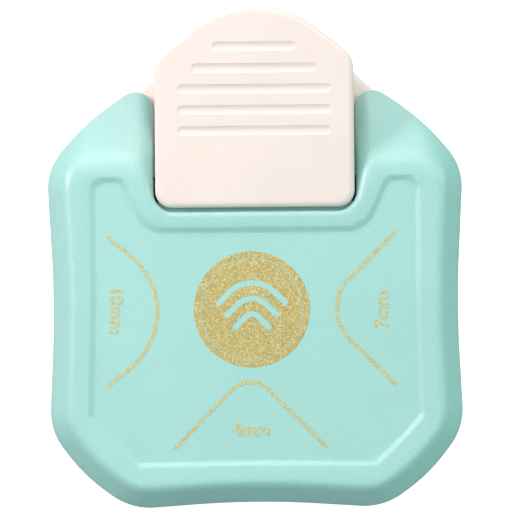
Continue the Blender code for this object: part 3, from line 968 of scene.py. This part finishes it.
def housing_screws():
    for row in ("front", "rear"):
        for node, x, y in pair(f"housing_screw_{row}"):
            profile = [(1.5, 1.2), (2.0, 1.3), (2.3, 1.55), (2.4, 1.9), (2.4, 2.6), (2.3, 2.7), (1.1, 2.7)]
            profile += [(1.1, 6.0)]
            profile += screw_thread(6.1, 15.9, radius=1.1, pitch=0.7, depth=0.25)
            profile += [(0.5, 17.0)]
            screw = turned(f"fine_{node}", x, y, profile, ZINC)
            combine(screw, "DIFFERENCE", cross_recess(node, x, y, 1.0, 2.2, 1.2))
            soften(screw, sharp=30.0)
            stand_for(screw, node, "body")


def plate_screws():
    for row in ("front", "rear"):
        for node, x, y in pair(f"plate_screw_{row}"):
            _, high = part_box(node)
            top = high.z / MM
            profile = [(0.4, 4.6)]
            profile += screw_thread(4.8, 8.6, radius=0.9, pitch=0.5, depth=0.18)
            profile += [(0.9, 8.8), (0.9, top - 1.2), (1.9, top - 1.2), (1.9, top - 0.5), (1.8, top - 0.2)]
            profile += [(1.5, top)]
            screw = turned(f"fine_{node}", x, y, profile, ZINC)
            recess = cross_recess(node, x, y, top + 0.2, top - 0.8, 0.95)
            combine(screw, "DIFFERENCE", recess)
            soften(screw, sharp=30.0)
            stand_for(screw, node, "body")


def feet():
    profile = [(2.3, 0.05), (2.7, 0.0), (2.95, 0.05), (3.13, 0.2), (3.2, 0.4), (3.2, 1.2), (3.1, 1.3)]
    for row in ("front", "rear"):
        for node, x, y in pair(f"rubber_foot_{row}"):
            foot = turned(f"fine_{node}", x, y, profile, RUBBER)
            stand_for(foot, node, "body")


def posts_and_bushes():
    profile = [(1.3, 8.7), (1.5, 8.9), (1.5, 22.3), (1.42, 22.55), (1.1, 22.8)]
    for node, x, y in pair("guide_post"):
        stand_for(turned(f"fine_{node}", x, y, profile, PIN_STEEL), node, "body")
    for node, x, y in pair("guide_bush"):
        low, high = (corner.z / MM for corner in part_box(node))
        wall = [(2.2, low), (2.3, low + 0.1), (2.3, high - 0.2), (2.1, high)]
        wall += [(1.85, high), (1.7, high - 0.15), (1.7, low + 0.1), (1.8, low)]
        bush = turned(f"fine_{node}", x, y, wall, BRASS, bored=True)
        stand_for(bush, node, "punch_unit")


def pins_and_roller():
    for name, node, y, z, radius, half, body in (
        ("fine_pivot_pin", "lever_pivot_pin", PIVOT_Y, PIVOT_Z, 1.25, 18.3, "body"),
        ("fine_roller_pin", "press_roller_pin", ROLLER_Y, ROLLER_Z, 0.8, 14.9, "lever"),
        ("fine_door_pin", "chip_door_pin", DOOR_PIN_Y, DOOR_PIN_Z, 0.5, 12.6, "body"),
    ):
        edge = 0.2 * radius
        profile = [(radius - edge, -half), (radius, edge - half)]
        profile += [(radius, half - edge), (radius - edge, half)]
        stand_for(cross_turned(name, y, z, profile, PIN_STEEL), node, body)
    wall = [(1.55, -11.6), (1.7, -11.45), (1.7, 11.45), (1.55, 11.6)]
    wall += [(1.15, 11.6), (ROLLER_BORE, 11.5), (ROLLER_BORE, -11.5), (1.15, -11.6)]
    roller = cross_turned("fine_press_roller", ROLLER_Y, ROLLER_Z, wall, PIN_STEEL, bored=True)
    stand_for(roller, "press_roller", "lever")


def return_springs():
    """Round-wire coils with closed ends, filling the height of each CAD spring's box."""
    wire, mean = 0.25, 2.3  # radii of the wire and of the coil
    per_turn, sides, turns = 36, 12, 5.5
    closed_end = 0.06  # share of the wire that lies flat at each end
    count = int(per_turn * turns)
    for node, x, y in pair("return_spring"):
        low, high = (corner.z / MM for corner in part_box(node))
        low, high = low + wire, high - wire
        rings = []
        for step in range(count + 1):
            angle = 2 * math.pi * step / per_turn
            out = Vector((math.cos(angle), math.sin(angle), 0))
            rise = clamped((step / count - closed_end) / (1.0 - 2 * closed_end))
            share = 0.35 * smoothstep(rise) + 0.65 * rise
            middle = Vector((x, y, low + (high - low) * share)) + out * mean
            ring = []
            for side in range(sides):
                around = 2 * math.pi * side / sides
                ring.append(middle + (out * math.cos(around) + Vector((0, 0, math.sin(around)))) * wire)
            rings.append(ring)
        coil = loft(f"fine_{node}", rings, WIRE)
        stand_for(coil, node, "body")
        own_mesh(coil)


# ---- print -------------------------------------------------------------------------------------


FOIL_THICK = 0.03
FOIL_MIDDLE = PANEL + FOIL_THICK / 2


def foil(name, splines, material):
    """A thin flat piece from closed outlines, where an outline inside another is a hole."""
    curve = bpy.data.curves.new(name, "CURVE")
    curve.dimensions = "2D"
    curve.fill_mode = "BOTH"
    curve.extrude = FOIL_THICK / 2 * MM
    for points in splines:
        spline = curve.splines.new("POLY")
        spline.points.add(len(points) - 1)
        for target, point in zip(spline.points, points):
            target.co = (*place((point[0], point[1], 0)).xy, 0, 1)
        spline.use_cyclic_u = True
    shape = bpy.data.objects.new(name + "_curve", curve)
    bpy.context.scene.collection.objects.link(shape)
    shape.location.z = FOIL_MIDDLE * MM
    flatten_to_mesh(shape, name, material)


def flatten_to_mesh(shape, name, material):
    """Turns a curve or text object into a mesh piece of foil."""
    bpy.context.view_layer.update()
    graph = bpy.context.evaluated_depsgraph_get()
    mesh = bpy.data.meshes.new_from_object(shape.evaluated_get(graph))
    mesh.transform(shape.matrix_world)
    mesh.name = name
    mesh.materials.clear()
    mesh.materials.append(material)
    bpy.data.objects.remove(shape, do_unlink=True)
    piece = bpy.data.objects.new(name, mesh)
    bpy.context.scene.collection.objects.link(piece)
    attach(piece, "body")


def stroke(centre_line, width):
    """The outline of a line of even width with round ends."""
    half = width / 2
    left, right = [], []
    count = len(centre_line)
    for i, point in enumerate(centre_line):
        before = centre_line[max(i - 1, 0)]
        after = centre_line[min(i + 1, count - 1)]
        along = (after - before).normalized()
        aside = Vector((-along.y, along.x)) * half
        left.append(point + aside)
        right.append(point - aside)

    def cap(centre, start):
        return [centre + Matrix.Rotation(-math.pi * step / 8, 2) @ start for step in range(1, 8)]

    end_cap = cap(centre_line[-1], left[-1] - centre_line[-1])
    start_cap = cap(centre_line[0], right[0] - centre_line[0])
    return left + end_cap + right[::-1] + start_cap


def corner_line(apex, radius, half_angle, reach):
    """A rounded corner's line, pointing to +X: an arc with a straight tail at each end.

    The arc's tip is at x = apex and the tails end at y = reach and y = -reach.
    """
    centre = Vector((apex - radius, 0.0))
    steps = 24
    arc = []
    for step in range(steps + 1):
        angle = half_angle * (1 - 2 * step / steps)
        arc.append(centre + radius * Vector((math.cos(angle), math.sin(angle))))
    tail = reach - arc[0].y
    lean = Vector((math.sin(half_angle), -math.cos(half_angle)))
    first = arc[0] + Vector((-lean.x, -lean.y)) * (tail / math.cos(half_angle))
    last = arc[-1] + Vector((-lean.x, lean.y)) * (tail / math.cos(half_angle))
    return [first, *arc, last]


MARK_WIDTH = 0.6


def corner_marks():
    """The three printed corners, which point at the disc. Each is about as round as its label says."""
    for name, centre, apex, radius, half_angle, reach, turn in (
        ("mark_10mm", (0.0, 0.10), 15.21, 11.0, 50.0, 11.36, math.pi),
        ("mark_7mm", (-0.25, 0.25), 12.74, 6.6, 45.0, 11.7, 0.0),
        ("mark_4mm", (-0.95, 0.0), 10.96, 4.0, 45.0, 11.65, -math.pi / 2),
    ):
        outwards = corner_line(apex, radius, math.radians(half_angle), reach)
        inwards = [Vector((2 * apex - point.x, point.y)) for point in outwards]
        foil(name, [stroke(turned_about(inwards, centre, turn), MARK_WIDTH)], THIN_FOIL)


BOLDER = 0.09  # how far the letters' edges are moved out


def label(name, text, centre, size, turn):
    """One radius in printed numbers."""
    curve = bpy.data.curves.new(name, "FONT")
    curve.body = text
    curve.size = size * MM
    curve.align_x = "CENTER"
    curve.align_y = "CENTER"
    curve.extrude = FOIL_THICK / 2 * MM
    curve.offset = BOLDER * MM
    shape = bpy.data.objects.new(name + "_text", curve)
    bpy.context.scene.collection.objects.link(shape)
    shape.location = place((*centre, FOIL_MIDDLE))
    shape.rotation_euler.z = turn
    flatten_to_mesh(shape, name, THIN_FOIL)


EMBLEM_CENTRE = (-0.62, 0.27)


def emblem():
    """A gold disc with a thin ring left bare and three nested rounded corners in its middle."""
    x, y = EMBLEM_CENTRE
    foil("emblem_rim", [circle(x, y, 8.95, DISC_SIDES), circle(x, y, 7.95, DISC_SIDES)], FOIL)
    splines = [circle(x, y, 7.83, DISC_SIDES)]
    for apex, radius in ((5.0, 5.0), (2.6, 3.2), (0.2, 1.4)):
        line = corner_line(apex, radius, math.radians(45.0), radius * 0.707 + 1.6)
        splines.append(stroke(turned_about(line, (x, y - 0.9), math.pi / 2), 0.9))
    foil("emblem_disc", splines, FOIL)


def printing():
    emblem()
    corner_marks()
    label("label_10mm", "10mm", (-21.6, 0.3), 2.9, -math.pi / 2)
    label("label_7mm", "7mm", (19.5, 0.05), 2.9, math.pi / 2)
    label("label_4mm", "4mm", (-0.85, -18.35), 2.8, 0.0)


# ---- CAD nodes that stay -----------------------------------------------------------------------


GROUND_EDGE = 0.05
MOULDED_EDGE = 0.12


def finish_cad_nodes():
    """The plates, punches and carrier keep their CAD shapes, with eased edges and finishes."""
    for node, material in (
        ("die_plate", PLATE_STEEL),
        ("guide_plate", PLATE_STEEL),
        ("stripper_plate", PLATE_STEEL),
        ("punch_10mm", PLATE_STEEL),
        ("punch_7mm", PLATE_STEEL),
        ("punch_4mm", PLATE_STEEL),
        ("punch_carrier", CARRIER),
    ):
        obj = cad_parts[node]
        obj.data.materials.clear()
        obj.data.materials.append(material)
        weld = obj.modifiers.new("weld", "WELD")
        weld.merge_threshold = 2 * WELD_DISTANCE
        edge = obj.modifiers.new("eased_edges", "BEVEL")
        edge.width = (MOULDED_EDGE if node == "punch_carrier" else GROUND_EDGE) * MM
        edge.segments = 2
        edge.limit_method = "ANGLE"
        edge.angle_limit = math.radians(40)
        edge.use_clamp_overlap = True


# ---- stage -------------------------------------------------------------------------------------


FLOOR_WHITE = 1.0  # as the camera sees the floor
FLOOR_BOUNCE = 0.05  # as the object sees it
SKY_COLOUR = (0.84, 1.0, 0.96)
SKY_STRENGTH = 0.57
ROSE = (1.0, 0.79, 0.83)
WARM_WHITE = (1.0, 0.97, 0.97)
AQUA = (0.8, 1.0, 0.95)
LIGHT_TARGET = (0.0, 0.0, 0.02)
CAMERA_PLACE = (-0.00007, 0.00056, 1.0)
CAMERA_ROLL = -0.49  # degrees
CAMERA_LENS = 445.4


def studio_floor():
    """A white sweep that the camera sees evenly bright, as under a light table."""
    bpy.ops.mesh.primitive_plane_add(size=6.0, location=(0, 0, 0))
    floor = bpy.context.object
    floor.name = "studio_floor"
    kit = Kit("studio_white", Roughness=0.9, Specular_IOR_Level=0.1)
    kit.shader.inputs["Base Color"].default_value = (0.35, 0.35, 0.35, 1.0)
    kit.shader.inputs["Emission Color"].default_value = (1.0, 1.0, 1.0, 1.0)
    seen = kit.node("ShaderNodeLightPath").outputs["Is Camera Ray"]
    glow = kit.node("ShaderNodeMapRange")
    glow.inputs["To Min"].default_value = FLOOR_BOUNCE
    glow.inputs["To Max"].default_value = FLOOR_WHITE
    kit.link(seen, glow.inputs["Value"])
    kit.link(glow.outputs["Result"], kit.shader.inputs["Emission Strength"])
    floor.data.materials.append(kit.material)


def soft_light(name, direction, distance, size, watts, colour):
    """A round softbox that stands in a direction from the object and faces it."""
    lamp = bpy.data.lights.new(name, "AREA")
    lamp.shape = "DISK"
    lamp.size = size
    lamp.energy = watts
    lamp.color = colour
    obj = bpy.data.objects.new(name, lamp)
    bpy.context.scene.collection.objects.link(obj)
    obj.location = Vector(LIGHT_TARGET) + Vector(direction).normalized() * distance
    obj.rotation_euler = (-Vector(direction)).to_track_quat("-Z", "Y").to_euler()


def studio():
    studio_floor()
    world = bpy.data.worlds.new("studio_world")
    world.use_nodes = True
    sky = world.node_tree.nodes["Background"]
    sky.inputs["Color"].default_value = (*SKY_COLOUR, 1.0)
    sky.inputs["Strength"].default_value = SKY_STRENGTH
    bpy.context.scene.world = world
    soft_light("overhead", (0.0, 0.1, 1.0), 1.4, 0.6, 1.7, WARM_WHITE)
    soft_light("rear", (-0.12, 0.86, 0.50), 0.9, 0.5, 3.3, ROSE)
    soft_light("rear_left", (-0.73, 0.33, 0.58), 0.34, 0.12, 0.76, ROSE)
    soft_light("right", (0.85, 0.30, 0.48), 0.7, 0.4, 1.35, AQUA)
    bpy.context.scene.view_settings.view_transform = "Standard"


def camera():
    """Straight down on the object, as a product is shot from above."""
    lens = bpy.data.cameras.new("camera")
    lens.sensor_width = 36.0
    lens.lens = CAMERA_LENS
    lens.clip_start, lens.clip_end = 0.01, 10.0
    eye = bpy.data.objects.new("camera", lens)
    bpy.context.scene.collection.objects.link(eye)
    eye.location = CAMERA_PLACE
    eye.rotation_euler = (0.0, 0.0, math.radians(CAMERA_ROLL))
    bpy.context.scene.camera = eye


camera()
studio()
cover()
lever_shell()
base_tray()
chip_door()
housing_screws()
plate_screws()
feet()
posts_and_bushes()
pins_and_roller()
return_springs()
printing()
finish_cad_nodes()
